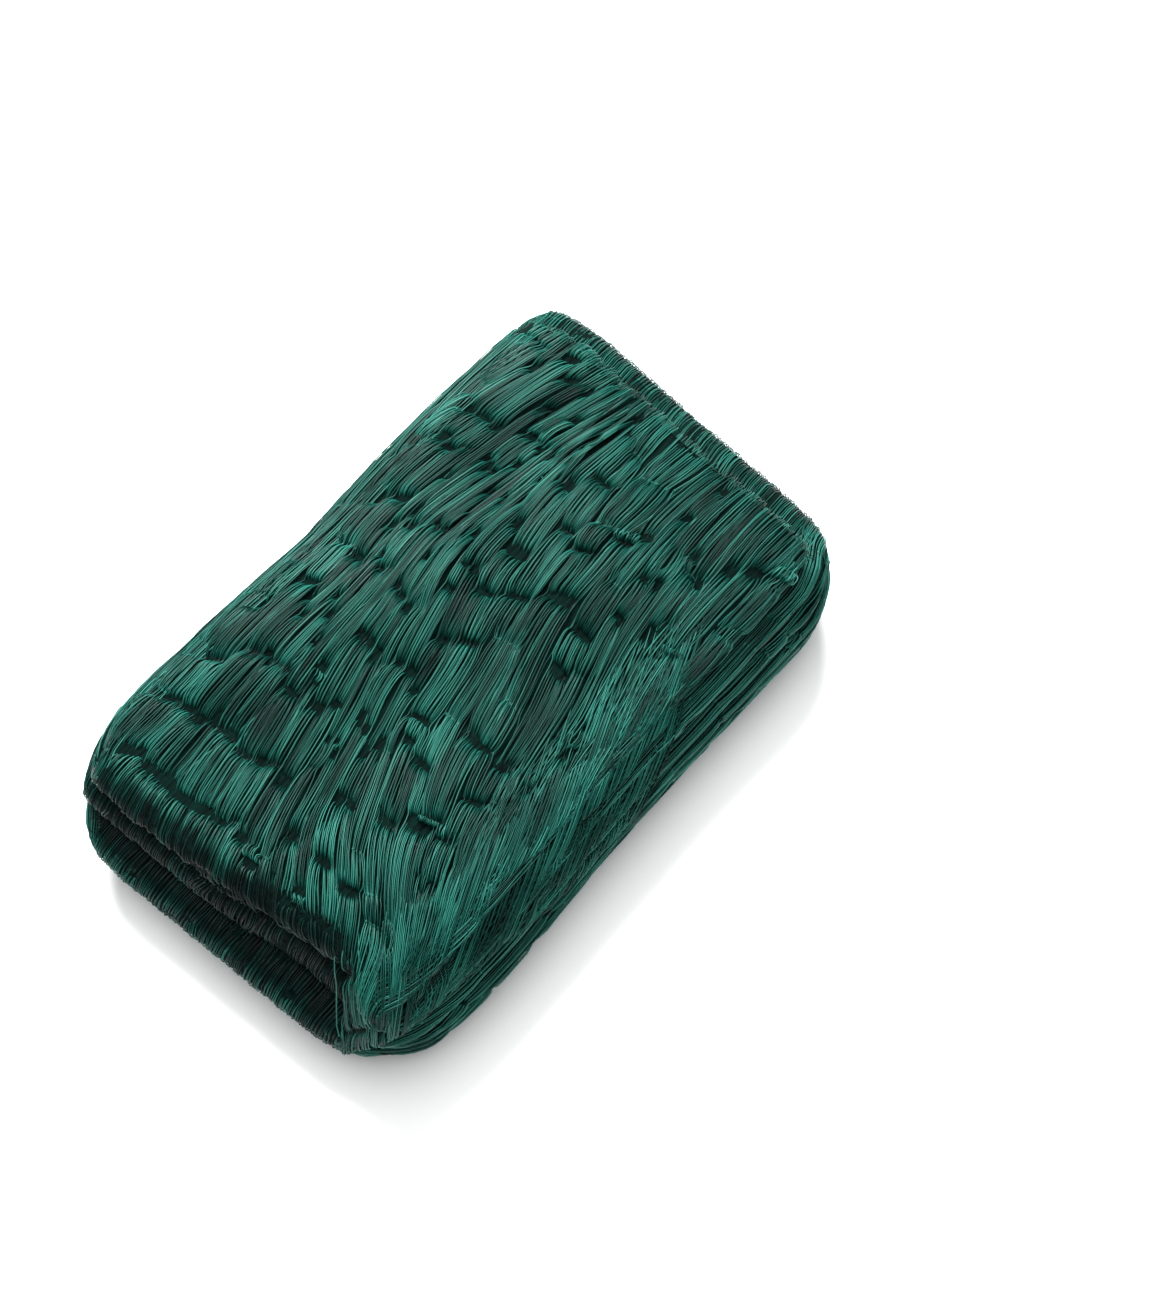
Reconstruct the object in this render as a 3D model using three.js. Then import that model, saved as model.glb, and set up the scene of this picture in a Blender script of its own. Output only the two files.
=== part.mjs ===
import * as THREE from "three";

// Garden trellis netting, gathered to a flat band and folded back and forth into a brick-shaped bundle.
// Millimetres, +Z up. The origin is the middle of the footprint, on the floor. +X runs along the bundle
// and +Y across it. The band starts at the free end of the bottom layer, turns up at the -X end,
// comes back, turns up at the +X end, and so on to the free end on top.

// Driving dimensions of the folded bundle.
const PITCH = 5.5; // from one layer to the next
const GAP = 0.8; // air between two layers
const THICKNESS = PITCH - GAP; // of the gathered band
const END_PLANE = 80; // where the corner arcs would end, to each side of the middle
const SKEW = { low: 0.062, high: -0.025 }; // how far each end leans to -X for each millimetre of Y
const FIRST_FLAT_CROWN = 46; // half-width at which the crown has dropped by SIDE_DROP
const SIDE_DROP = 0.15; // share of its height that the bundle loses at its long sides
const END_DROP = 0.12; // and at its two ends

// One row for each layer, from the floor up: where its folds or ends are centred along X, and how far
// it reaches to each side.
const LAYER_ROWS = [
  { low: -70.5, high: 67.7, left: 43.0, right: 41.0 },
  { low: -70.5, high: 70.2, left: 46.0, right: 43.5 },
  { low: -71.8, high: 70.2, left: 47.5, right: 45.5 },
  { low: -71.8, high: 71.2, left: 48.5, right: 46.0 },
  { low: -66.0, high: 71.2, left: 48.5, right: 46.0 },
  { low: -66.0, high: 69.2, left: 47.5, right: 45.0 },
  { low: -64.0, high: 69.2, left: 45.5, right: 43.0 },
  { low: -64.0, high: 66.7, left: 42.0, right: 39.5 },
];

// The radii of each corner's arc in plan, along the bundle and across it.
const CORNERS = {
  left: { low: { along: 33, across: 29 }, high: { along: 19.5, across: 19.5 } },
  right: { low: { along: 21, across: 34.5 }, high: { along: 24, across: 25 } },
};

// The long sides' own unevenness: a waist on the left, a belly towards -X on the right.
const LEFT_WAIST = { depth: 1.2, at: -4, reach: 17 };
const RIGHT_BELLY = { depth: 2.5, at: -44, reach: 30 };

// The upper layers' ends at -X: they stand back from the lower ones along the middle and slump out
// over them at the corner with the -Y side. Each amount grows from a start over a distance.
const SETBACK = { reach: 3.5, y: { start: 5, over: -30 } };
const SLUMP = { reach: 6.5, y: { start: -28, over: -14 } };
const UPPER_END = { x: { start: -40, over: -25 }, z: { start: 18, over: 10 } };

// Soft cross-waves of the top layer, where the closed meshes buckle between their rows of knots.
const WAVE = {
  pitch: 14.6,
  depth: 1.1,
  sharpness: 6,
  slant: 0.15,
  shift: 4.9,
  wander: 1.2,
  wanderPitch: 31,
};

// Broad unevenness of the whole stack, growing from nothing on the floor to this on top.
const HEAVE = [
  { height: 0.9, along: 88, across: 70, shift: 0.6 },
  { height: 0.6, along: 47, across: -58, shift: 2.1 },
];

// How finely the band is drawn.
const SECTION_POINTS = 24;
const PLAIN_STEPS = 12; // along a layer that is hidden between others
const TOP_STEPS = 72; // along the top layer, whose waves show
const FOLD_STEPS = 6;
const ROUNDED_END = [
  { inset: 0.0, scale: 0.42 },
  { inset: 0.5, scale: 0.72 },
  { inset: 1.5, scale: 0.93 },
];

const STACK_HEIGHT = LAYER_ROWS.length * PITCH - GAP;
const TOP_LAYER = LAYER_ROWS.length - 1;
const layerHeight = (layer) => THICKNESS / 2 + layer * PITCH;
const mix = (a, b, t) => a + (b - a) * t;
const smooth = (t) => {
  const share = Math.min(1, Math.max(0, t));
  return share * share * (3 - 2 * share);
};
const hump = (x, { depth, at, reach }) => depth * Math.exp(-(((x - at) / reach) ** 2));

// A flat oval with level top and bottom, as points { across, through } from -1 to 1.
function sectionShape(count) {
  const roundness = 0.5;
  const flatness = 1.12;
  return Array.from({ length: count }, (_, i) => {
    const turn = (2 * Math.PI * (i + 0.5)) / count;
    const c = Math.cos(turn);
    const s = Math.sin(turn);
    return {
      across: Math.sign(c) * Math.abs(c) ** roundness,
      through: Math.sign(s) * Math.min(1, flatness * Math.abs(s) ** roundness),
    };
  });
}

// Stations along a hidden layer crowd towards its ends, where the corners turn.
const stepShare = (t, layer) => (layer === TOP_LAYER ? t : (1 - Math.cos(Math.PI * t)) / 2);

// The band's middle line, as stations with their normal, their reach to each side and their scale.
function bandStations() {
  const stations = [];
  LAYER_ROWS.forEach((row, layer) => {
    const towardsPlusX = layer % 2 === 1;
    const start = towardsPlusX ? row.low : row.high;
    const finish = towardsPlusX ? row.high : row.low;
    const heading = towardsPlusX ? 1 : -1;
    const steps = layer === TOP_LAYER ? TOP_STEPS : PLAIN_STEPS;
    const level = { z: layerHeight(layer), nx: 0, nz: heading, left: row.left, right: row.right, layer };
    const endInset = ROUNDED_END[ROUNDED_END.length - 1].inset;
    const first = layer === 0 ? start + heading * endInset : start;
    const last = layer === TOP_LAYER ? finish - heading * endInset : finish;
    if (layer === 0)
      ROUNDED_END.slice(0, -1).forEach(({ inset, scale }) =>
        stations.push({ ...level, x: start + heading * inset, scale }),
      );
    for (let i = 0; i <= steps; i++)
      stations.push({ ...level, x: mix(first, last, stepShare(i / steps, layer)), scale: 1 });
    if (layer === TOP_LAYER) {
      [...ROUNDED_END].slice(0, -1).reverse().forEach(({ inset, scale }) =>
        stations.push({ ...level, x: finish - heading * inset, scale }),
      );
      return;
    }
    const above = LAYER_ROWS[layer + 1];
    for (let i = 1; i < FOLD_STEPS; i++) {
      const turn = (Math.PI * i) / FOLD_STEPS;
      const share = i / FOLD_STEPS;
      const outward = heading * Math.sin(turn);
      stations.push({
        x: finish + (outward * PITCH) / 2,
        z: layerHeight(layer) + (PITCH / 2) * (1 - Math.cos(turn)),
        nx: -Math.sin(turn),
        nz: heading * Math.cos(turn),
        left: mix(row.left, above.left, share),
        right: mix(row.right, above.right, share),
        scale: 1,
        layer: layer + share,
      });
    }
  });
  return stations;
}

// How much the corners' arcs take off the half-width at x.
function cornerCut(x, { low, high }) {
  const arc = (distance, { along, across }) =>
    across * (1 - Math.sqrt(1 - Math.max(0, 1 - distance / along) ** 2));
  return arc(END_PLANE + x, low) + arc(END_PLANE - x, high);
}

function halfWidth(station, x, side) {
  const uneven = side === "left" ? -hump(x, LEFT_WAIST) : hump(x, RIGHT_BELLY);
  return station[side] + uneven - cornerCut(x, CORNERS[side]);
}

// How far the top sinks at a point, from 0 on a wave's back to 1 in its trough.
function waveDip(x, y) {
  const wander = WAVE.wander * Math.sin((2 * Math.PI * y) / WAVE.wanderPitch + x / WAVE.wanderPitch);
  const phase = (x + WAVE.slant * y + WAVE.shift + wander) / WAVE.pitch;
  return (0.5 - 0.5 * Math.cos(2 * Math.PI * phase)) ** WAVE.sharpness;
}

// The whole stack is crowned: lower at its sides and ends, and a little uneven. The floor stays level.
function settle(x, y, z) {
  const crown =
    1 - SIDE_DROP * Math.abs(y / FIRST_FLAT_CROWN) ** 4 - END_DROP * Math.abs(x / END_PLANE) ** 6;
  const heave = HEAVE.reduce(
    (sum, { height, along, across, shift }) =>
      sum + height * Math.sin((2 * Math.PI * x) / along + (2 * Math.PI * y) / across + shift),
    0,
  );
  return z * crown + heave * (z / STACK_HEIGHT) ** 2;
}

// How far towards +X the upper layers' ends at -X are moved.
function upperEndShift(x, y, z) {
  const grown = (value, { start, over }) => smooth((value - start) / over);
  const reach = SETBACK.reach * grown(y, SETBACK.y) - SLUMP.reach * grown(y, SLUMP.y);
  return reach * grown(x, UPPER_END.x) * grown(z, UPPER_END.z);
}

function nettingGeometry() {
  const section = sectionShape(SECTION_POINTS);
  const stations = bandStations();
  const positions = [];
  stations.forEach((station) => {
    section.forEach(({ across, through }) => {
      const lift = (through * station.scale * THICKNESS) / 2;
      const x = station.x + station.nx * lift;
      const side = across > 0 ? "left" : "right";
      const y = across * (halfWidth(station, x, side) - (1 - station.scale) * THICKNESS);
      const onTop = station.layer === TOP_LAYER && through > 0;
      const dip = onTop ? WAVE.depth * waveDip(x, y) * through * station.scale : 0;
      const z = settle(x, y, station.z + station.nz * lift) - dip;
      const skew = mix(SKEW.low, SKEW.high, (x + END_PLANE) / (2 * END_PLANE));
      positions.push(x - skew * y + upperEndShift(x, y, z), y, z);
    });
  });
  const index = [];
  const at = (i, j) => i * SECTION_POINTS + (j % SECTION_POINTS);
  for (let i = 0; i + 1 < stations.length; i++)
    for (let j = 0; j < SECTION_POINTS; j++)
      index.push(at(i, j), at(i, j + 1), at(i + 1, j), at(i + 1, j), at(i, j + 1), at(i + 1, j + 1));
  // Each free end is closed by strips across its nearly flat face.
  const last = stations.length - 1;
  for (let j = 1; j + 1 < SECTION_POINTS; j++) {
    index.push(at(0, 0), at(0, j + 1), at(0, j));
    index.push(at(last, 0), at(last, j), at(last, j + 1));
  }
  const geometry = new THREE.BufferGeometry();
  geometry.setAttribute("position", new THREE.Float32BufferAttribute(positions, 3));
  geometry.setIndex(index);
  geometry.computeVertexNormals();
  return geometry;
}

const netMaterial = new THREE.MeshStandardMaterial({ color: 0x14634f, roughness: 0.45, metalness: 0 });

const netting = new THREE.Mesh(nettingGeometry(), netMaterial);
netting.name = "netting";

const part = new THREE.Group();
part.add(netting);

export default part;
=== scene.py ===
import math
from collections import namedtuple
from functools import partial

import bpy
import numpy as np
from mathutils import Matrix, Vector


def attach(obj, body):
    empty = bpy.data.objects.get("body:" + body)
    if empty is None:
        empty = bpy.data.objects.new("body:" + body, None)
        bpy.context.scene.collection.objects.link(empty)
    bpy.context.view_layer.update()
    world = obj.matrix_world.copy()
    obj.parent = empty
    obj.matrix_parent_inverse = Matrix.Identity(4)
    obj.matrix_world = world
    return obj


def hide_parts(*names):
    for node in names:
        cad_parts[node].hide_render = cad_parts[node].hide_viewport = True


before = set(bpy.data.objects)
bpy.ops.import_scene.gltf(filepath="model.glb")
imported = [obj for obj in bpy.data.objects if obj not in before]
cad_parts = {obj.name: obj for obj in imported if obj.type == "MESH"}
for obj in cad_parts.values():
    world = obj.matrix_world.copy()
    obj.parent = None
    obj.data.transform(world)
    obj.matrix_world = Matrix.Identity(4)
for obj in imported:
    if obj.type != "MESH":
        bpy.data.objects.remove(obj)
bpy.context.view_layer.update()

# Fine trellis netting, gathered lengthwise to a flat band and folded back and forth into a bundle.
# Lengths here are in millimetres, in the frame of the CAD part, and meshes are made in metres.
MM = 0.001
rng = np.random.default_rng(20)

# The folded band, as the part's source has it.
PITCH = 5.5
GAP = 0.8
THICKNESS = PITCH - GAP
END_PLANE = 80.0
LOW_SKEW, HIGH_SKEW = 0.062, -0.025
FIRST_FLAT_CROWN = 46.0
SIDE_DROP = 0.15
END_DROP = 0.12
Layer = namedtuple("Layer", "low high left right")
LAYERS = [
    Layer(-70.5, 67.7, 43.0, 41.0),
    Layer(-70.5, 70.2, 46.0, 43.5),
    Layer(-71.8, 70.2, 47.5, 45.5),
    Layer(-71.8, 71.2, 48.5, 46.0),
    Layer(-66.0, 71.2, 48.5, 46.0),
    Layer(-66.0, 69.2, 47.5, 45.0),
    Layer(-64.0, 69.2, 45.5, 43.0),
    Layer(-64.0, 66.7, 42.0, 39.5),
]
TOP = len(LAYERS) - 1
STACK_HEIGHT = len(LAYERS) * PITCH - GAP
Corner = namedtuple("Corner", "along across")
CORNERS = {
    "left": {"low": Corner(33, 29), "high": Corner(19.5, 19.5)},
    "right": {"low": Corner(21, 34.5), "high": Corner(24, 25)},
}
Hump = namedtuple("Hump", "depth at reach")
LEFT_WAIST = Hump(1.2, -4, 17)
RIGHT_BELLY = Hump(2.5, -44, 30)
Heave = namedtuple("Heave", "height along across shift")
HEAVES = [Heave(0.9, 88, 70, 0.6), Heave(0.6, 47, -58, 2.1)]
ROW_PITCH = 14.6  # from one row of knots to the next
ROW_SLANT = 0.15
ROW_SHIFT = 4.9
ROW_WANDER = 1.2
WANDER_PITCH = 31.0
SECTION_ROUNDNESS, SECTION_FLATNESS = 0.5, 1.12

# Something that grows from nothing at a start to its full amount over a distance. It grows towards
# lower values where the distance is negative.
Growth = namedtuple("Growth", "start over")
SETBACK_REACH, SETBACK_Y = 3.5, Growth(5, -30)
SLUMP_REACH, SLUMP_Y = 6.5, Growth(-28, -14)
UPPER_END_X, UPPER_END_Z = Growth(-40, -25), Growth(18, 10)

# How finely the band is looked up.
LAYER_STEPS = 40
TOP_STEPS = 110
FOLD_STEPS = 12
SECTION_STEPS = 320
CAP_TURN = 0.8 * math.pi  # how far round the band's free ends its faces are followed
LAST_ROOM = 1.001  # keeps a place in a grid short of the grid's last line

STRAND = 0.3  # diameter of a strand

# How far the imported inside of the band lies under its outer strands: at the folds and edges, and on
# the flats between.
FOLD_INSET, FLAT_INSET = 0.5, 1.3
FLAT_PART = Growth(64, -12)  # by the distance from the bundle's middle, either way


def mix(a, b, t):
    return a + (b - a) * t


def smooth(t):
    t = np.clip(t, 0, 1)
    return t * t * (3 - 2 * t)


def grown(value, growth):
    return smooth((value - growth.start) / growth.over)


def unit(v):
    return v / np.maximum(np.linalg.norm(v, axis=-1, keepdims=True), 1e-9)


def read_grid(grid, i, j):
    """A grid's values at places between its rows and columns."""
    i0 = np.clip(i.astype(int), 0, grid.shape[0] - 2)
    j0 = np.clip(j.astype(int), 0, grid.shape[1] - 2)
    fi, fj = i - i0, j - j0
    if grid.ndim == 3:
        fi, fj = fi[..., None], fj[..., None]
    low = mix(grid[i0, j0], grid[i0, j0 + 1], fj)
    high = mix(grid[i0 + 1, j0], grid[i0 + 1, j0 + 1], fj)
    return mix(low, high, fi)


def hump(x, h):
    return h.depth * np.exp(-(((x - h.at) / h.reach) ** 2))


def corner_cut(x, corners):
    """How much the corners' arcs take off the half-width at x."""

    def arc(distance, corner):
        q = np.clip(1 - distance / corner.along, 0, 1)
        return corner.across * (1 - np.sqrt(1 - q * q))

    return arc(END_PLANE + x, corners["low"]) + arc(END_PLANE - x, corners["high"])


def row_phase(along, across):
    """A whole number at each row of knots. Along is counted as X on the top layer."""
    wander = ROW_WANDER * np.sin(2 * math.pi * across / WANDER_PITCH + along / WANDER_PITCH)
    return (along + ROW_SLANT * across + ROW_SHIFT + wander) / ROW_PITCH + 0.5


def settle(x, y, z):
    crown = 1 - SIDE_DROP * np.abs(y / FIRST_FLAT_CROWN) ** 4 - END_DROP * np.abs(x / END_PLANE) ** 6
    heave = sum(
        h.height * np.sin(2 * math.pi * (x / h.along + y / h.across) + h.shift) for h in HEAVES
    )
    return z * crown + heave * (z / STACK_HEIGHT) ** 2


def upper_end_shift(x, y, z):
    """The upper layers' ends at -X stand back along the middle and slump out at one corner."""
    reach = SETBACK_REACH * grown(y, SETBACK_Y) - SLUMP_REACH * grown(y, SLUMP_Y)
    return reach * grown(x, UPPER_END_X) * grown(z, UPPER_END_Z)


Station = namedtuple("Station", "x z nx nz left right layer")


def band_stations(caps):
    """The band's middle line from the free end on the floor to the free end on top, and where each
    layer's straight run starts and ends in the list. Caps turn its outer faces round the free ends."""
    stations, runs = [], []
    half = THICKNESS / 2

    def cap(row, layer, turns, heading):
        x, z = row.high - half, half + layer * PITCH
        for turn in turns:
            nx, nz = math.sin(turn), heading * math.cos(turn)
            stations.append(Station(x, z, nx, nz, row.left, row.right, layer))

    if caps:
        cap(LAYERS[0], 0, np.linspace(CAP_TURN, 0, FOLD_STEPS)[:-1], -1)
    for layer, row in enumerate(LAYERS):
        heading = 1 if layer % 2 else -1
        high = row.high - half if layer in (0, TOP) else row.high
        start, finish = (row.low, high) if heading > 0 else (high, row.low)
        z = half + layer * PITCH
        first = len(stations)
        for t in np.linspace(0, 1, (TOP_STEPS if layer == TOP else LAYER_STEPS) + 1):
            x = mix(start, finish, t)
            stations.append(Station(x, z, 0, heading, row.left, row.right, layer))
        runs.append((first, len(stations) - 1))
        if layer == TOP:
            break
        above = LAYERS[layer + 1]
        for turn in np.linspace(0, math.pi, FOLD_STEPS + 1)[1:-1]:
            share = turn / math.pi
            stations.append(
                Station(
                    finish + heading * math.sin(turn) * PITCH / 2,
                    z + PITCH / 2 * (1 - math.cos(turn)),
                    -math.sin(turn),
                    heading * math.cos(turn),
                    mix(row.left, above.left, share),
                    mix(row.right, above.right, share),
                    layer + share,
                )
            )
    if caps:
        cap(LAYERS[TOP], TOP, np.linspace(0, CAP_TURN, FOLD_STEPS)[1:], 1)
    return Station(*np.array(stations).T[:, :, None]), runs


def band_surface(stations, turns, inset=0.0):
    """Points of the band's surface, one row for each station, at these angles round its section."""
    c, s = np.cos(turns), np.sin(turns)
    across = np.sign(c) * np.abs(c) ** SECTION_ROUNDNESS
    through = np.sign(s) * np.minimum(1, SECTION_FLATNESS * np.abs(s) ** SECTION_ROUNDNESS)
    lift = through * (THICKNESS / 2 - inset)
    x = stations.x + stations.nx * lift
    left = stations.left - hump(x, LEFT_WAIST) - corner_cut(x, CORNERS["left"])
    right = stations.right + hump(x, RIGHT_BELLY) - corner_cut(x, CORNERS["right"])
    y = across * (np.where(across > 0, left, right) - np.minimum(inset, FOLD_INSET))
    z = settle(x, y, stations.z + stations.nz * lift)
    skew = mix(LOW_SKEW, HIGH_SKEW, (x + END_PLANE) / (2 * END_PLANE))
    return np.stack(np.broadcast_arrays(x - skew * y + upper_end_shift(x, y, z), y, z), -1)


class Skin:
    """The band's surface, looked up by the distance along the band and the distance round it. Round
    it starts at a mark: 0 is the middle of one face, 0.5 the left edge, 1 the middle of the other
    face and -0.5 the right edge. From there the distance grows to the left on the first face."""

    def __init__(self):
        stations, self.runs = band_stations(caps=True)
        turns = math.pi / 2 - np.linspace(0, 2 * math.pi, 4 * SECTION_STEPS + 1)
        loops = band_surface(stations, turns)
        pace = np.linalg.norm(np.diff(loops, axis=1), axis=2)
        gone = np.concatenate([np.zeros((len(loops), 1)), np.cumsum(pace, axis=1)], axis=1)
        self.half_round = gone[:, -1] / 2
        even = np.linspace(0, 1, SECTION_STEPS + 1)
        self.points = np.stack(
            [
                np.stack([np.interp(even * g[-1], g, loop[:, k]) for k in range(3)], -1)
                for g, loop in zip(gone, loops)
            ]
        )
        lines = [
            np.stack([stations.x + stations.nx * lift, stations.z + stations.nz * lift], -1)[:, 0]
            for lift in (-THICKNESS / 2, THICKNESS / 2)
        ]
        paces = [np.linalg.norm(np.diff(line, axis=0), axis=1) for line in lines]
        self.along = np.concatenate([[0], np.cumsum(np.maximum(*paces))])
        ahead = np.gradient(self.points, axis=0)
        wrapped = np.concatenate([self.points[:, -2:-1], self.points, self.points[:, 1:2]], axis=1)
        normals = np.cross(ahead, wrapped[:, 2:] - wrapped[:, :-2])
        facing = np.stack([stations.nx[:, 0], 0 * stations.nx[:, 0], stations.nz[:, 0]], -1)
        flip = np.sign(np.sum(normals[:, 0] * facing, -1))[:, None, None]
        self.normals = normals * flip / np.linalg.norm(normals, axis=-1, keepdims=True)

    def run(self, layer):
        """Where a layer's straight run starts and ends along the band."""
        first, last = self.runs[layer]
        return self.along[first], self.along[last]

    def half_at(self, along):
        """Half the distance round the band."""
        return np.interp(along, self.along, self.half_round)

    def look_up(self, along, mark, across):
        """The surface's points and outward normals."""
        i = np.interp(along, self.along, np.arange(len(self.along)))
        j = ((mark / 2 + across / (2 * self.half_at(along))) % 1.0) * SECTION_STEPS
        return read_grid(self.points, i, j), unit(read_grid(self.normals, i, j))


skin = Skin()


# The strands lie side by side along the band. They make tufts from one row of knots to the next:
# they bulge between the rows and dip at them, deepest where the netting gapes.
class Cells:
    """The tufts' own differences. Each row of knots has its own partition across the band, and each
    part of it its own place along the band, depth of gape and so on."""

    ROWS = 200
    MIDDLE = 100  # the place of row 0 among them
    MOST_STRAY = 1.6
    OPEN, CLOSED = (1.6, 2.6), (0.0, 0.9)  # depths of the parts that gape and of the others
    IN_LINE = (1.4, 2.3)  # depths of all parts where the rows run straight
    GAPE_LENGTH = (0.8, 1.6)  # along the band, to each side of the row
    TONE_SPREAD = 0.14
    PUFF = (0.5, 1.3)

    def __init__(self, reach, gaping=0.5, widths=(3.0, 6.5), slide=0.35):
        self.most = math.ceil((reach[1] - reach[0]) / widths[0])
        shape = (self.ROWS, self.most)
        ends = np.cumsum(rng.uniform(*widths, shape), axis=1) - rng.uniform(0, widths[0], (self.ROWS, 1))
        self.ends = ends + reach[0]
        self.halves = np.diff(self.ends, axis=1, prepend=self.ends[:, :1] - widths[0]) / 2
        self.offset = np.clip(rng.normal(0, 1, shape), -self.MOST_STRAY, self.MOST_STRAY)
        gapes = rng.uniform(0, 1, shape) < gaping
        self.depth = np.where(gapes, rng.uniform(*self.OPEN, shape), rng.uniform(*self.CLOSED, shape))
        self.in_line = rng.uniform(*self.IN_LINE, shape)
        self.length = rng.uniform(*self.GAPE_LENGTH, shape)
        self.tone = rng.normal(0, self.TONE_SPREAD, shape)
        self.puff = rng.uniform(*self.PUFF, shape)
        self.slide = rng.normal(0, slide, shape)

    def part(self, lane, rows):
        """The part of each row's partition that a lane is in."""
        rows = rows.astype(int) + self.MIDDLE
        found = np.array([np.searchsorted(self.ends[r], lane) for r in rows])
        return rows, np.minimum(found, self.most - 1)


# A way of combing: the strands' pitch, how low and how high they lie on the surface, how far a tuft
# puffs up between its rows, how far it is crowned and pinched in at them, how far strands stray to
# the side, how deep gapes are, and at which shares of the way between two rows a strand has points.
Comb = namedtuple("Comb", "pitch low high puff crown pinch stray dip samples")
FINE = (0, 0.045, 0.09, 0.15, 0.25, 0.4, 0.6, 0.75, 0.85, 0.91, 0.955)
SOFT = (0, 0.08, 0.2, 0.35, 0.5, 0.65, 0.8, 0.92)
PLAIN = (0, 0.08, 0.2, 0.5, 0.8, 0.92)
SURFACE = Comb(0.5, -0.45, 0.1, 0.7, 0.3, 0.16, 0.08, 1.15, FINE)
BELOW = Comb(0.6, -0.8, -0.5, 0.4, 0.1, 0.1, 0.25, 1.0, PLAIN)
ROUND_FOLDS = Comb(0.45, -0.35, 0.05, 0.12, 0.05, 0.1, 0.1, 0.35, SOFT)
ALONG_EDGES = Comb(0.45, -0.45, 0.0, 0.12, 0.0, 0.05, 0.08, 0.3, SOFT)
ON_FLOOR = Comb(0.8, -0.6, -0.3, 0.0, 0.0, 0.1, 0.2, 0.4, PLAIN)
OVER_CORNER = Comb(0.45, -0.7, -0.1, 0.3, 0.2, 0.14, 0.1, 0.9, FINE)
UNDER_CORNER = OVER_CORNER._replace(low=-1.9, high=-0.9, puff=0.0, stray=0.3)

# Where strands are laid.
LANE_JITTER = 0.2  # of the pitch
LANE_CROWDING = (-math.inf, 1.4, 0.7, 1.4)  # how far lanes drift apart before each of four is laid
SHORTEST = 8  # of a strand
EDGE_ROOM = 0.8  # between a face's strands and the middle of the band's edge
FLOOR_ROOM = 0.36  # between the floor and a strand's middle, for its knots

# Their course.
POINT_ROOM = 0.03  # between a strand's end and its next point, as a share of the rows' pitch
SQUEEZE_REACH = 2.6  # to each side of a row of knots
MESH_SWING = 0.1  # how far each strand swings to one neighbour and then the other, row by row
LONG_WAVE, SHORT_WAVE, RISE_WAVE = 23, 9, 17  # pitches of a strand's own wavering
SHORT_WAVE_SHARE = 0.3  # of the long one's size
RISE_WAVE_SIZE = 0.12
STRAYED = Growth(0.075, 0.25)  # by how far parts stray from their row
IN_LINE_CLOSING = 0.5  # how far gapes that lie in line close at their sides
END_DIVE, END_DIVE_OVER = 1.8, 4  # how deep a strand's ends go under, and over which length

# Their tone, from dark to light: it differs at random, and painted shade darkens it in gapes, grooves and
# folds.
MEAN_TONE, TONE_SPREAD = 0.5, 0.15
DEEP_PAINTED_SHADE = 0.5  # painted shade: how much darker the strands are at the bottom of a gape, where shadow falls
DEEP = Growth(0.5, 1.1)  # by a gape's depth

# Their knots.
DEEPEST_KNOT = -1.2
KNOT_SPAN = 0.8  # the most between the two strands of a knot

# Strands as points one after the other, with the numbers of each strand's first point and of the
# pairs of points that a knot joins.
Laid = namedtuple("Laid", "paths normals tone starts knots")


def place_in(values, wanted):
    """Where wanted values lie among these evenly spaced ones, counted in steps."""
    return np.clip((wanted - values[0]) / (values[1] - values[0]), 0, len(values) - LAST_ROOM)


class Lanes:
    """Lines along the band that start side by side and then lean. Their distance across the band
    and their spacing are read by the distance along it and by where a lane starts."""

    STEP = 1.0
    SPACING = 2.0

    def __init__(self, surface, mark, span, reach, lean):
        self.places = np.arange(span[0], span[1] + self.STEP / 2, self.STEP)
        self.starts = np.arange(reach[0] - self.SPACING, reach[1] + 2 * self.SPACING, self.SPACING)
        self.across = np.empty((len(self.places), len(self.starts)))
        self.across[0] = self.starts
        for k, place in enumerate(self.places[:-1]):
            here, _ = surface.look_up(np.full(len(self.starts), place), mark, self.across[k])
            self.across[k + 1] = self.across[k] + (self.places[k + 1] - place) * np.tan(lean(here))
        self.spacing = np.gradient(self.across, axis=1) / self.SPACING

    def read(self, grid, s, lane):
        return read_grid(grid, place_in(self.places, s), place_in(self.starts, lane))


def waver(s, size, pitch):
    turn = 2 * math.pi * s / (pitch * rng.uniform(0.8, 1.3))
    return size * rng.normal(0, 0.7) * np.sin(turn + rng.uniform(0, 2 * math.pi))


def stretches(wanted):
    """Where each unbroken run of true values starts and ends."""
    edges = np.flatnonzero(np.diff(np.concatenate([[0], wanted.astype(int), [0]])))
    return [(a, b - 1) for a, b in zip(edges[::2], edges[1::2]) if b - a > SHORTEST]


def evenly(value, along, across):
    return np.full_like(along, value)


NOTHING = partial(evenly, 0.0)
EVEN_ROWS = partial(evenly, 0.3)


def points_between(low, high, whole, samples):
    """The places of a strand's points from low to high, counted in rows."""
    wanted = (whole[:, None] + np.array(samples)).ravel()
    wanted = wanted[(wanted > low + POINT_ROOM) & (wanted < high - POINT_ROOM)]
    return np.concatenate([[low], wanted, [high]])


def gape_depth(style, cells, row, part, v, near, strayed):
    """How deep the strands dip at a row. V is the place in the row's part, from -1 to 1, and near
    the distance from the row."""
    depth = mix(cells.in_line[row, part], cells.depth[row, part], strayed)
    depth = depth * (1 - np.clip(v, -1, 1) ** 4 * mix(IN_LINE_CLOSING, 1, strayed))
    return style.dip * depth * np.exp(-((near / cells.length[row, part]) ** 2))


def find_knots(rows_of, paths, lift):
    """The pairs of points where neighbours meet: each strand with the next one at one row, and with
    the one before at the next row."""
    knots = []
    for number, found in rows_of.items():
        for row, k in found.items():
            other = rows_of.get(number + 2, {}).get(row)
            if other is None or (number // 2 + row) % 2 or min(lift[k], lift[other]) < DEEPEST_KNOT:
                continue
            if np.linalg.norm(paths[k] - paths[other]) < KNOT_SPAN:
                knots.append((k, other))
    return np.array(knots, int).reshape(-1, 2)


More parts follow.
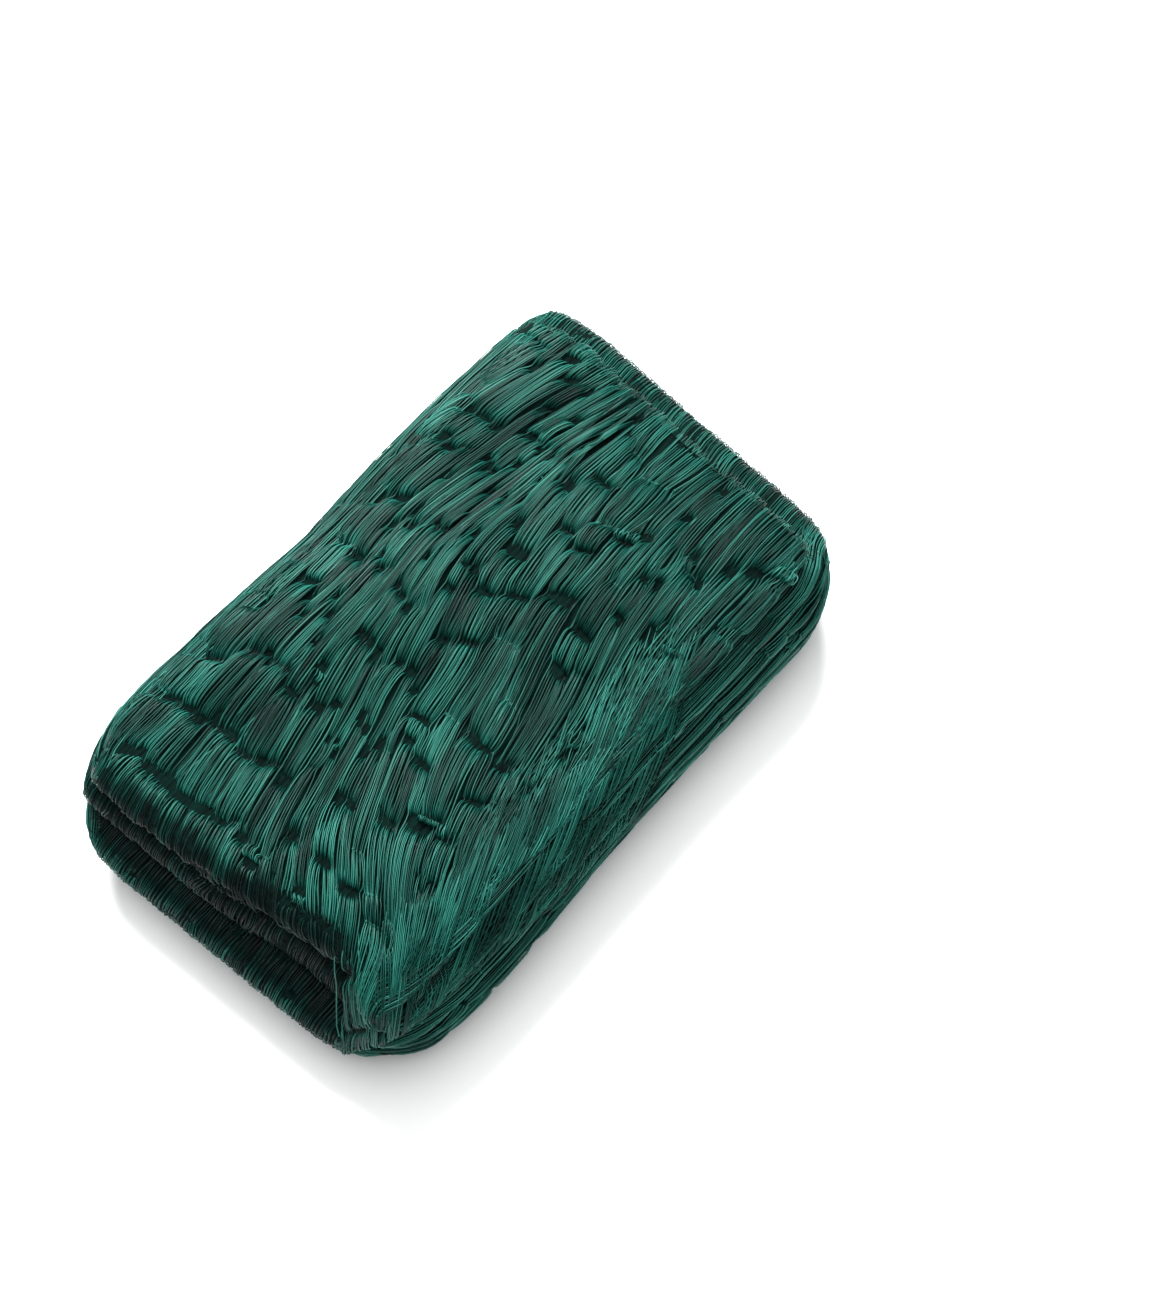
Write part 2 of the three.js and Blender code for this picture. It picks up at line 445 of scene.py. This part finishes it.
def comb(
    surface, mark, span, reach, style, cells, lean,
    shift=0.0, within=None, loose=EVEN_ROWS, sink=NOTHING, thin=NOTHING, painted_shade=NOTHING,
):
    """Strands side by side on one face of the band. Shift makes the distance along the band into
    the X by which rows are counted, within says where a strand may lie, loose how far a row's parts
    stray from it, sink lowers the surface, thin is the share of strands that are left out, and the
    last argument darkens them as painted shade."""
    lanes = Lanes(surface, mark, span, reach, lean)
    places, counted = lanes.places, lanes.places + shift
    edge = surface.half_at(places) / 2 - EDGE_ROOM
    stores = ([], [], [], [])
    first, rows_of, total = [], {}, 0
    for number, lane in enumerate(np.arange(reach[0], reach[1], style.pitch / 2)):
        lane = lane + rng.uniform(-LANE_JITTER, LANE_JITTER) * style.pitch
        aside = lanes.read(lanes.across, places, lane)
        shown = lanes.read(lanes.spacing, places, lane) > LANE_CROWDING[number % 4]
        if mark in (0.0, 1.0):
            shown &= np.abs(aside) < edge
        shown &= rng.uniform() > thin(counted, aside)
        if within:
            here, _ = surface.look_up(places, mark, aside)
            shown &= within(here[:, 1], here[:, 2], *rng.uniform(0, 1, 2))
        base = row_phase(counted, aside)
        for begin, end in stretches(shown):
            # The points along the strand, counted in rows and then as distances along the band.
            whole = np.arange(math.floor(base[begin]) - 1, math.ceil(base[end]) + 2)
            row, part = cells.part(lane, whole)
            stray = loose(np.interp(whole, base, counted), np.interp(whole, base, aside))
            knots_at = whole + stray * cells.offset[row, part]
            low, high = np.interp([base[begin], base[end]], knots_at, whole)
            wanted = points_between(low, high, whole, style.samples)
            s = np.interp(np.interp(wanted, whole, knots_at), base, places)
            nearest, cell = np.round(wanted), np.floor(wanted)
            near = (wanted - nearest) * ROW_PITCH
            squeeze = np.exp(-((near / SQUEEZE_REACH) ** 2))
            between = np.sin(math.pi * (wanted - cell))
            row, part = cells.part(lane, nearest)
            tuft = cells.part(lane, cell)

            # Across the band.
            centre = cells.ends[row, part] - cells.halves[row, part]
            v = (lane - centre) / cells.halves[row, part]
            swing = (1 if number // 2 % 2 == 0 else -1) * MESH_SWING * np.cos(math.pi * wanted)
            pulled = centre + (lane - centre) * (1 - style.pinch * squeeze)
            w = lanes.read(lanes.across, s, mix(lane, pulled, squeeze)) + swing
            w = w + cells.slide[tuft] * between
            w = w + waver(s, style.stray, LONG_WAVE) + waver(s, style.stray * SHORT_WAVE_SHARE, SHORT_WAVE)

            # Off the surface.
            strayed = grown(np.interp(wanted, whole, stray), STRAYED)
            gape = gape_depth(style, cells, row, part, v, near, strayed)
            puff = style.puff * cells.puff[tuft] * (1 - squeeze)
            lift = rng.uniform(style.low, style.high) + puff + style.crown * squeeze * (1 - v * v) - gape
            lift = lift + waver(s, RISE_WAVE_SIZE, RISE_WAVE) - sink(s + shift, w)
            from_end = np.minimum(s - s[0], s[-1] - s)
            lift = lift - END_DIVE * (1 - smooth(from_end / END_DIVE_OVER))

            # Random tone, less painted shade from the last argument and at the bottom of gapes.
            tone = MEAN_TONE + rng.normal(0, TONE_SPREAD) + cells.tone[tuft] * between - painted_shade(s + shift, w)
            tone = tone - DEEP_PAINTED_SHADE * grown(gape, DEEP)
            first.append(total)
            whole_rows = np.flatnonzero(wanted == nearest)
            rows_of.setdefault(number, {}).update({int(wanted[k]): total + k for k in whole_rows})
            total += len(s)
            for store, values in zip(stores, (s, w, lift, tone)):
                store.append(values)
    s, w, lift, tone = (np.concatenate(store) for store in stores)
    points, normals = surface.look_up(s, mark, w)
    paths = points + normals * lift[:, None]
    paths[:, 2] = np.maximum(paths[:, 2], FLOOR_ROOM)
    return Laid(paths, normals, tone, np.array(first), find_knots(rows_of, paths, lift))


def join(*parts):
    """Several sets of strands as one."""
    sizes = np.cumsum([0] + [len(p.paths) for p in parts[:-1]])
    return Laid(
        *(np.concatenate([p[k] for p in parts]) for k in range(3)),
        np.concatenate([p.starts + n for p, n in zip(parts, sizes)]),
        np.concatenate([p.knots + n for p, n in zip(parts, sizes)]),
    )


def new_object(name, data):
    thing = bpy.data.objects.new(name, data)
    bpy.context.scene.collection.objects.link(thing)
    return thing


def new_mesh(name, points, quads, triangles, uvs, material, tone=None):
    """A mesh object from arrays. uvs has a row for each corner, quads first."""
    mesh = bpy.data.meshes.new(name)
    mesh.vertices.add(len(points))
    mesh.vertices.foreach_set("co", (points * MM).astype(np.float32).ravel())
    corners = np.concatenate([quads.ravel(), triangles.ravel()]).astype(np.int32)
    starts = np.concatenate(
        [np.arange(len(quads)) * 4, len(quads) * 4 + np.arange(len(triangles)) * 3]
    ).astype(np.int32)
    mesh.loops.add(len(corners))
    mesh.loops.foreach_set("vertex_index", corners)
    mesh.polygons.add(len(starts))
    mesh.polygons.foreach_set("loop_start", starts)
    mesh.polygons.foreach_set("use_smooth", np.ones(len(starts), bool))
    mesh.uv_layers.new(name="OFBake").data.foreach_set("uv", uvs.astype(np.float32).ravel())
    if tone is not None:
        mesh.attributes.new("tone", "FLOAT", "POINT").data.foreach_set("value", tone.astype(np.float32))
    mesh.update(calc_edges=True)
    mesh.validate()
    mesh.materials.append(material)
    return new_object(name, mesh)


def corner_uvs(*corners):
    """A row for each corner of each quad, from arrays of U and V for its corners in turn."""
    return np.stack([np.stack(np.broadcast_arrays(u, v), -1) for u, v in corners], -2).reshape(-1, 2)


SIDES = 3  # of a strand's section, so its caps are triangles
TAPER, THINNEST = 3, 0.4  # points over which a strand's end thins out, and to which share
THICKNESSES = (0.85, 1.15)  # of single strands, as shares of STRAND

# A knot is an octahedron. Its corners lie ahead, aside and above, and then opposite these.
KNOT = (0.5, 0.34, 0.3)  # half of a knot's length, width and height
KNOT_SIZES = (0.8, 1.2)
KNOT_CORNERS = 6
KNOT_FACES = np.array(
    [[0, 1, 2], [1, 3, 2], [3, 4, 2], [4, 0, 2], [1, 0, 5], [3, 1, 5], [4, 3, 5], [0, 4, 5]]
)

# Each strand has a strip of the texture's width, with its caps' spots at the ends. The knots lie in
# cells above, each with its upper faces in the left half and its lower ones in the right half.
STRAND_UV = 0.93  # share of the texture's height that the strands take; the knots have the rest
STRIP_START, STRIP_LENGTH = 0.01, 0.98
SIDE_START, SIDE_HEIGHT = 0.05, 0.9  # of one side's share of a strip
FIRST_CAP, LAST_CAP, CAP_WIDTH = 0.001, 0.994, 0.004
KNOT_SPOTS = np.array([[0, 0.5], [0.25, 1], [0.25, 0.5], [0.5, 0.5], [0.25, 0], [0.25, 0.5]]) * 0.9


def directions(laid):
    """Which way each strand runs at each of its points."""
    count = len(laid.paths)
    k = np.arange(count)
    is_first = np.isin(k, laid.starts)
    is_last = np.isin(k + 1, np.append(laid.starts, count))
    before = np.where(is_first, k, k - 1)
    after = np.where(is_last, k, k + 1)
    return unit(laid.paths[after] - laid.paths[before]), is_first, is_last


def strand_uvs(share, strand, strands, here):
    """Share is each point's place along its strand, and here the points that start a quad."""
    u0 = share[here, None] * STRIP_LENGTH + STRIP_START
    u1 = share[here + 1, None] * STRIP_LENGTH + STRIP_START
    low = (strand[here, None] + (np.arange(SIDES) + SIDE_START) / SIDES) / strands * STRAND_UV
    high = low + SIDE_HEIGHT / SIDES / strands * STRAND_UV
    cap_v = (np.arange(strands)[:, None] + (np.arange(SIDES) + 0.5) / SIDES) / strands * STRAND_UV
    cap_u = CAP_WIDTH * (np.arange(SIDES) % 2)
    return [
        corner_uvs((u0, low), (u0, high), (u1, high), (u1, low)),
        corner_uvs((FIRST_CAP + cap_u, cap_v)),
        corner_uvs((LAST_CAP + cap_u, cap_v)),
    ]


def knot_uvs(count):
    upper = np.arange(len(KNOT_FACES))[:, None, None] < len(KNOT_FACES) / 2
    spots = KNOT_SPOTS[KNOT_FACES] + np.where(upper, 0, [0.5, 0])
    across = math.ceil(math.sqrt(count))
    cell = np.stack([np.arange(count) % across, np.arange(count) // across], -1)
    uvs = (cell[:, None, None] + spots) / across * [1, 1 - STRAND_UV] + [0, STRAND_UV]
    return uvs.reshape(-1, 2)


def tubes(name, laid, material):
    """Closed strands along the laid paths, with their knots, as one mesh."""
    count, strands = len(laid.paths), len(laid.starts)
    ahead, is_first, is_last = directions(laid)
    side = unit(np.cross(ahead, laid.normals))
    up = np.cross(side, ahead)
    strand = np.cumsum(is_first) - 1
    ends = np.append(laid.starts, count)
    k = np.arange(count)
    before, after = k - ends[strand], ends[strand + 1] - 1 - k
    taper = np.clip((np.minimum(before, after) + 1) / TAPER, THINNEST, 1)
    radius = STRAND / 2 * rng.uniform(*THICKNESSES, strands)[strand] * taper
    turns = math.pi / 2 + 2 * math.pi * np.arange(SIDES) / SIDES
    ring = np.cos(turns)[:, None] * side[:, None] + np.sin(turns)[:, None] * up[:, None]
    vertices = (laid.paths[:, None] + radius[:, None, None] * ring).reshape(-1, 3)

    number = np.arange(count * SIDES).reshape(count, SIDES)
    turned = np.roll(number, -1, axis=1)
    here = k[~is_last]
    quads = np.stack([number[here], turned[here], turned[here + 1], number[here + 1]], -1)
    triangles = [number[is_first][:, ::-1], number[is_last]]
    uvs = strand_uvs(before / np.maximum(before + after, 1), strand, strands, here)
    tone = np.repeat(laid.tone, SIDES)

    if len(laid.knots):
        a, b = laid.knots.T
        middle = (laid.paths[a] + laid.paths[b]) / 2
        size = rng.uniform(*KNOT_SIZES, len(a))[:, None, None] * np.array(KNOT)[:, None]
        axes = np.stack([ahead[a], side[a], up[a]], 1) * size
        points = middle[:, None] + np.concatenate([axes, -axes], 1)
        base = len(vertices) + KNOT_CORNERS * np.arange(len(a))
        vertices = np.concatenate([vertices, points.reshape(-1, 3)])
        triangles.append((base[:, None, None] + KNOT_FACES).reshape(-1, 3))
        tone = np.concatenate([tone, np.repeat((laid.tone[a] + laid.tone[b]) / 2, KNOT_CORNERS)])
        uvs.append(knot_uvs(len(a)))
    return new_mesh(
        name, vertices, quads.reshape(-1, 4), np.concatenate(triangles), np.concatenate(uvs), material, tone
    )


def dress(piece):
    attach(piece, "root")
    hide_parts("netting")
    return piece


def srgb(*channels):
    def linear(c):
        c = c / 255
        return c / 12.92 if c <= 0.04045 else ((c + 0.055) / 1.055) ** 2.4

    return (*[linear(c) for c in channels], 1)


def new_material(name):
    material = bpy.data.materials.new(name)
    material.use_nodes = True
    nodes = material.node_tree.nodes
    return material, nodes, material.node_tree.links, nodes["Principled BSDF"]


def colour_ramp(nodes, *stops):
    """A ramp through colours, each given with its place, from the lowest place to the highest."""
    ramp = nodes.new("ShaderNodeValToRGB")
    elements = ramp.color_ramp.elements
    for element, (position, colour) in zip(elements, (stops[0], stops[-1])):
        element.position = position
        element.color = colour
    for position, colour in stops[1:-1]:
        elements.new(position).color = colour
    return ramp


def strand_material():
    """Extruded polyethylene: dark to mid green from strand to strand, slightly glossy, darker still where
    the tone attribute carries painted shade.
    """
    material, nodes, links, shader = new_material("net_strand")
    tone = nodes.new("ShaderNodeAttribute")
    tone.attribute_name = "tone"
    place = nodes.new("ShaderNodeTexCoord")
    mottle = nodes.new("ShaderNodeTexNoise")
    mottle.inputs["Scale"].default_value = 90
    mottle.inputs["Detail"].default_value = 3
    links.new(place.outputs["Object"], mottle.inputs["Vector"])
    mottled = nodes.new("ShaderNodeMath")
    mottled.operation = "MULTIPLY_ADD"
    mottled.inputs[1].default_value = 0.5
    links.new(mottle.outputs["Fac"], mottled.inputs[0])
    links.new(tone.outputs["Fac"], mottled.inputs[2])
    ramp = colour_ramp(
        nodes,
        (0.12, srgb(2, 20, 17)),
        (0.35, srgb(2, 38, 32)),
        (0.72, srgb(11, 72, 63)),
        (1.0, srgb(38, 116, 102)),
    )
    links.new(mottled.outputs[0], ramp.inputs["Fac"])
    links.new(ramp.outputs["Color"], shader.inputs["Base Color"])
    gloss = nodes.new("ShaderNodeMapRange")
    gloss.inputs["To Min"].default_value = 0.32
    gloss.inputs["To Max"].default_value = 0.55
    links.new(mottle.outputs["Fac"], gloss.inputs["Value"])
    links.new(gloss.outputs["Result"], shader.inputs["Roughness"])
    shader.inputs["Specular IOR Level"].default_value = 0.22
    return material


strand_look = strand_material()


# How far the top's strands lean, in degrees: over most of the top, round a spot near the corner at -X
# and -Y, back where they gather towards +X, and in small patches.
LEAN, LEAN_X, LEAN_Y = 15, Growth(60, -60), Growth(40, -40)
CORNER_LEAN, CORNER_SPOT, CORNER_REACH = 22, (-50, -22), 20
GATHER_LEAN, GATHER_X, GATHER_Y = -14, Growth(5, 30), Growth(-2, 26)
PATCH_LEAN = 5

# How far the parts of the top's rows stray from them, and where they start to.
IN_ROWS, OFF_ROWS = 0.07, 0.33
OFF_ROWS_X, OFF_ROWS_Y = Growth(-42, 25), Growth(14, -12)

# The line at -X where the top's tufts end, over a deep groove, and where they go on at the -Y corner.
TOP_EDGE, TOP_CORNER = Growth(-64, -1.4), Growth(-30, -8)
# Past that line the strands sink and thin out, and they are darkened as painted shade of the groove.
PAST_EDGE_SINK, PAST_EDGE_THIN, PAST_EDGE_PAINTED_SHADE = 0.5, 0.12, 0.48


def top_lean(here):
    """The angle between the strands of the top layer and the bundle's long axis, towards +Y."""
    x, y = here[..., 0], here[..., 1]
    general = LEAN * grown(y, LEAN_Y) * grown(x, LEAN_X)
    from_spot = ((x - CORNER_SPOT[0]) / CORNER_REACH) ** 2 + ((y - CORNER_SPOT[1]) / CORNER_REACH) ** 2
    corner = CORNER_LEAN * np.exp(-from_spot)
    gather = GATHER_LEAN * grown(x, GATHER_X) * grown(y, GATHER_Y)
    patches = PATCH_LEAN * np.sin(x / 9.0 + y / 7.0) * np.sin(y / 11.0 - x / 13.0 + 1.0)
    return np.radians(general + corner + gather + patches)


def straight(here):
    return np.zeros(here.shape[:-1])


def top_loose(along, across):
    """Near the -X and +Y sides the rows run straight across; elsewhere each part has its own."""
    return mix(IN_ROWS, OFF_ROWS, np.maximum(grown(along, OFF_ROWS_X), grown(across, OFF_ROWS_Y)))


def past_edge(amount, along, across):
    return amount * (grown(along, TOP_EDGE) * (1 - grown(across, TOP_CORNER)))


low_top = skin.run(TOP)[0]
TOP_SHIFT = LAYERS[TOP].low - low_top
FOLD_WRAP = 13.0  # how far the top's strands run on down the fold at its end
TOP_SPAN = (low_top - FOLD_WRAP, skin.along[-1])
TOP_REACH = (-110, 70)
top_cells = Cells(TOP_REACH, gaping=0.7)
top_rows = dict(
    shift=TOP_SHIFT,
    loose=top_loose,
    sink=partial(past_edge, PAST_EDGE_SINK),
    thin=partial(past_edge, PAST_EDGE_THIN),
    painted_shade=partial(past_edge, PAST_EDGE_PAINTED_SHADE),
)
upper = comb(skin, 0.0, TOP_SPAN, TOP_REACH, SURFACE, top_cells, top_lean, **top_rows)
lower = comb(skin, 0.0, TOP_SPAN, TOP_REACH, BELOW, top_cells, top_lean, **top_rows)
top_surface = dress(tubes("top_surface", upper, strand_look))
top_below = dress(tubes("top_below", lower, strand_look))


# Over the corner at -X and -Y and along the -Y side the top's strands hang down, across the edges of
# the layers.
class Drape:
    """A surface laid over the stack there, in lines that run outwards and down. It is looked up by
    the distance along a line and by the line's place aside from the one at the corner."""

    MIDDLE = np.array([-45.0, -15.0, 0.0])
    OUTWARD = unit(np.array([-0.737, -0.676, 0.0]))
    ASIDE = np.array([-OUTWARD[1], OUTWARD[0], 0.0])
    RETREAT = 0.851  # how far the lines' starts keep back from OUTWARD, for each millimetre aside
    FIRST, LAST = -16, 84
    TURNS = np.radians(np.linspace(100, 0, 51))
    STEP = 1.0
    SMOOTHINGS = 2

    def __init__(self):
        gone = skin.points.reshape(-1, 3) - self.MIDDLE
        aside = gone @ self.ASIDE
        out = gone @ self.OUTWARD + self.RETREAT * aside
        i = np.round(aside - self.FIRST).astype(int)
        turn = np.arctan2(gone[:, 2], out)
        j = np.round((self.TURNS[0] - turn) / (self.TURNS[0] - self.TURNS[1])).astype(int)
        place = np.arange(self.FIRST, self.LAST + 1)
        near = (i >= 0) & (i < len(place)) & (j >= 0) & (j < len(self.TURNS))
        radius = np.zeros((len(place), len(self.TURNS)))
        np.maximum.at(radius, (i[near], j[near]), np.hypot(out, gone[:, 2])[near])
        radius = self.spread(radius, 1, np.max)
        for _ in range(self.SMOOTHINGS):
            radius = self.spread(radius, 2, np.mean)
        lines = place[:, None, None] * (self.ASIDE - self.RETREAT * self.OUTWARD) + self.MIDDLE
        lines = lines + (radius * np.cos(self.TURNS))[..., None] * self.OUTWARD
        lines = lines + (radius * np.sin(self.TURNS))[..., None] * np.array([0, 0, 1.0])
        pace = np.linalg.norm(np.diff(lines, axis=1), axis=2)
        run = np.concatenate([np.zeros((len(lines), 1)), np.cumsum(pace, axis=1)], axis=1)
        even = np.arange(0, run[:, -1].min(), self.STEP)
        self.points = np.stack(
            [np.stack([np.interp(even, g, line[:, k]) for k in range(3)], -1) for g, line in zip(run, lines)]
        )
        normals = unit(np.cross(np.gradient(self.points, axis=0), np.gradient(self.points, axis=1)))
        outside = np.sign(np.sum(normals * (self.OUTWARD + np.array([0, 0, 1.0])), -1, keepdims=True))
        self.normals = normals * outside
        self.length = even[-1]

    @staticmethod
    def spread(grid, size, gather):
        """Each value's neighbourhood gathered to one."""
        padded = np.pad(grid, size, mode="edge")
        rows, columns = grid.shape
        around = [
            padded[i : i + rows, j : j + columns] for i in range(2 * size + 1) for j in range(2 * size + 1)
        ]
        return gather(np.stack(around), axis=0)

    def half_at(self, along):
        """More than any strand's place aside, because this surface has no edge to keep from."""
        return np.full(len(along), 4.0 * self.LAST)

    def look_up(self, along, mark, across):
        """The surface's points and outward normals. It has one face, whatever the mark."""
        i = np.clip(across - self.FIRST, 0, len(self.points) - LAST_ROOM)
        j = np.clip(along / self.STEP, 0, self.points.shape[1] - LAST_ROOM)
        return read_grid(self.points, i, j), unit(read_grid(self.normals, i, j))


drape = Drape()


HANGING_SPAN = (3, drape.length)
HANGING_REACH, UNDER_REACH = (-5, 80), (-5, 12)
HANGING_LEAN, HANGING_LEAN_OVER = -0.45, 22
HANGING_FROM, HANGING_FROM_ROOM = -24, 9  # the Y from which strands hang down, and its spread
HANGING_TO, HANGING_TO_ROOM = 5, 12  # the height at which they end, and its spread
HANGING_FEWER = Growth(60, 16)


def drape_lean(here):
    """Away from the corner the strands hang aslant, towards -X."""
    aside = (here - Drape.MIDDLE) @ Drape.ASIDE
    return HANGING_LEAN * smooth(aside / HANGING_LEAN_OVER)


def hangs(y, z, start, end):
    """Where a strand hangs that starts and ends at these shares of the free ends' room."""
    return (y < HANGING_FROM - HANGING_FROM_ROOM * start) & (z > HANGING_TO + HANGING_TO_ROOM * end)


def hang_thin(along, across):
    """Fewer and fewer of them hang towards the +X end."""
    return grown(across, HANGING_FEWER)


hanging_cells = Cells((-8, Drape.LAST), gaping=0.7)
hanging = comb(
    drape, 0.0, HANGING_SPAN, HANGING_REACH, OVER_CORNER, hanging_cells, drape_lean,
    within=hangs, thin=hang_thin,
)
under_corner = comb(
    drape, 0.0, HANGING_SPAN, UNDER_REACH, UNDER_CORNER, hanging_cells, drape_lean, within=hangs
)
hanging_strands = dress(tubes("hanging_strands", join(hanging, under_corner), strand_look))

FOLD_REACH = (-50, 50)
HALF_FOLD_SPAN = 17
FOLD_INSIDE = Growth(3.5, 2.5)  # by the distance past a fold's middle


def fold_painted_shade(middle, painted_darkening, painted_darkening_inside, along, across):
    """Painted shade: strands are darkened all over a fold, and more past its middle, where they go on under
    the layers above.
    """
    return painted_darkening + painted_darkening_inside * grown(along - middle, FOLD_INSIDE)


def fold_strands(layers, mark, missing=0.0, sunk=0.0, painted_darkening=0.0, painted_darkening_inside=0.0):
    """Strands round the folds above these layers, on the band's outer face there."""
    parts = []
    for layer in layers:
        start, finish = skin.run(layer)[1], skin.run(layer + 1)[0]
        middle = (start + finish) / 2
        cells = Cells(FOLD_REACH, gaping=0.35)
        shift = rng.uniform(0, ROW_PITCH)
        parts.append(
            comb(
                skin, mark, (middle - HALF_FOLD_SPAN, middle + HALF_FOLD_SPAN), FOLD_REACH,
                ROUND_FOLDS, cells, straight,
                shift=shift,
                sink=partial(evenly, sunk),
                thin=partial(evenly, missing),
                painted_shade=partial(fold_painted_shade, middle + shift, painted_darkening, painted_darkening_inside),
            )
        )
    return join(*parts)


# The lips at -X are darkened as painted shade, most on their inner side, and the groove above them all over.
lips = fold_strands((0, 2), 0.0, painted_darkening=0.06, painted_darkening_inside=0.45)
groove = fold_strands((4,), 0.0, missing=0.1, sunk=0.3, painted_darkening=0.48)
low_folds = dress(tubes("low_folds", join(lips, groove), strand_look))
high_folds = dress(tubes("high_folds", fold_strands((1, 3, 5), 1.0), strand_look))

EDGE_REACH, EDGE_CELLS = (-5.4, 5.4), (-6, 6)
FLOOR_STRANDS_REACH = (-44, 44)


def edge_strands(mark):
    """Strands along one edge of the band, through all its layers and folds."""
    span = (skin.run(0)[0], skin.run(TOP)[1])
    cells = Cells(EDGE_CELLS, gaping=0.4, slide=0.1)
    return comb(skin, mark, span, EDGE_REACH, ALONG_EDGES, cells, straight)


left_edges = dress(tubes("left_edges", edge_strands(0.5), strand_look))
right_edges = dress(tubes("right_edges", edge_strands(-0.5), strand_look))
floor_span = (0.0, skin.run(0)[1])
on_floor = comb(skin, 0.0, floor_span, FLOOR_STRANDS_REACH, ON_FLOOR, Cells(FLOOR_STRANDS_REACH), straight)
floor_strands = dress(tubes("floor_strands", on_floor, strand_look))

CORE_TURNS = 40
CORE_CAP_UV = (0.5, 0.9995)


def core_painted_shade_material():
    """The strands deeper in the band, in fine lines along it, coloured nearly black green as painted shade.
    """
    material, nodes, links, shader = new_material("net_inside_painted_shade")
    place = nodes.new("ShaderNodeTexCoord")
    stretch = nodes.new("ShaderNodeMapping")
    stretch.inputs["Scale"].default_value = (0.06, 1, 1)
    lines = nodes.new("ShaderNodeTexNoise")
    lines.inputs["Scale"].default_value = 1400
    lines.inputs["Detail"].default_value = 2
    links.new(place.outputs["Object"], stretch.inputs["Vector"])
    links.new(stretch.outputs["Vector"], lines.inputs["Vector"])
    ramp = colour_ramp(nodes, (0.35, srgb(1, 7, 6)), (0.7, srgb(3, 26, 22)))
    links.new(lines.outputs["Fac"], ramp.inputs["Fac"])
    links.new(ramp.outputs["Color"], shader.inputs["Base Color"])
    bump = nodes.new("ShaderNodeBump")
    bump.inputs["Strength"].default_value = 0.6
    bump.inputs["Distance"].default_value = 0.0003
    links.new(lines.outputs["Fac"], bump.inputs["Height"])
    links.new(bump.outputs["Normal"], shader.inputs["Normal"])
    shader.inputs["Roughness"].default_value = 0.9
    shader.inputs["Specular IOR Level"].default_value = 0.05
    return material


def packed_core():
    """The band itself, as one closed sheet."""
    stations, _ = band_stations(caps=False)
    turns = 2 * math.pi * (np.arange(CORE_TURNS) + 0.5) / CORE_TURNS
    inset = mix(FOLD_INSET, FLAT_INSET, grown(np.abs(stations.x), FLAT_PART))
    rows = band_surface(stations, turns, inset)
    count = len(rows)
    number = np.arange(count * CORE_TURNS).reshape(count, CORE_TURNS)
    turned = np.roll(number, -1, axis=1)
    quads = np.stack([number[:-1], turned[:-1], turned[1:], number[1:]], -1).reshape(-1, 4)
    fan = np.arange(1, CORE_TURNS - 1)
    first = np.stack([np.zeros_like(fan), fan + 1, fan], -1)
    last = number[-1][np.stack([np.zeros_like(fan), fan, fan + 1], -1)]
    triangles = np.concatenate([first, last])
    share = np.arange(CORE_TURNS + 1) / CORE_TURNS
    u0, u1 = share[None, :-1], share[None, 1:]
    v0 = (np.arange(count - 1) / count)[:, None]
    v1 = v0 + 1 / count
    quad_uvs = corner_uvs((u0, v0), (u1, v0), (u1, v1), (u0, v1))
    uvs = np.concatenate([quad_uvs, np.tile([CORE_CAP_UV], (triangles.size, 1))])
    return new_mesh("net_core", rows.reshape(-1, 3), quads, triangles, uvs, core_painted_shade_material())


core = dress(packed_core())

# The floor, the light and the camera.
FLOOR_REACH = 4.0


def floor_plane():
    mesh = bpy.data.meshes.new("floor")
    r = FLOOR_REACH
    mesh.from_pydata([(-r, -r, 0), (r, -r, 0), (r, r, 0), (-r, r, 0)], [], [(0, 1, 2, 3)])
    floor = new_object("floor", mesh)
    material, _, _, shader = new_material("pale_floor")
    shader.inputs["Base Color"].default_value = (0.94, 0.94, 0.94, 1)
    shader.inputs["Roughness"].default_value = 0.9
    mesh.materials.append(material)


def area_light(name, place, size, energy):
    """A round lamp, turned to the middle of the bundle's footprint."""
    light = bpy.data.lights.new(name, "AREA")
    light.shape = "DISK"
    light.size = size
    light.energy = energy
    lamp = new_object(name, light)
    lamp.location = place
    lamp.rotation_euler = (Vector((0, 0, 0)) - Vector(place)).to_track_quat("-Z", "Y").to_euler()


VIEW_AZIMUTH = math.radians(47.5)  # from the bundle's long axis to the picture's right
VIEW_ELEVATION = math.radians(69)
VIEW_DISTANCE = 0.62
VIEW_TARGET = Vector((27.1, -7.3, 0)) * MM
VIEW_SCALE = 4.58  # pixels to a millimetre at the target
PHOTO_HEIGHT = 1297
SENSOR = 36.0


def photo_camera():
    camera = new_object("camera", bpy.data.cameras.new("camera"))
    away = Vector((math.sin(VIEW_AZIMUTH), math.cos(VIEW_AZIMUTH), 0))
    sight = away * math.cos(VIEW_ELEVATION) - Vector((0, 0, math.sin(VIEW_ELEVATION)))
    camera.location = VIEW_TARGET - sight * VIEW_DISTANCE
    camera.rotation_euler = sight.to_track_quat("-Z", "Y").to_euler()
    camera.data.sensor_width = SENSOR
    camera.data.lens = SENSOR * VIEW_SCALE * VIEW_DISTANCE / MM / PHOTO_HEIGHT
    camera.data.clip_start = 0.01
    bpy.context.scene.camera = camera


floor_plane()
photo_camera()
area_light("key", (0.45, 0.6, 1.0), size=0.6, energy=36)
area_light("overhead", (0.0, 0.0, 1.4), size=1.4, energy=20)
world = bpy.data.worlds.new("studio")
bpy.context.scene.world = world
world.use_nodes = True
background = world.node_tree.nodes["Background"]
background.inputs["Color"].default_value = (1, 1, 1, 1)
background.inputs["Strength"].default_value = 0.3
bpy.context.scene.view_settings.view_transform = "Standard"
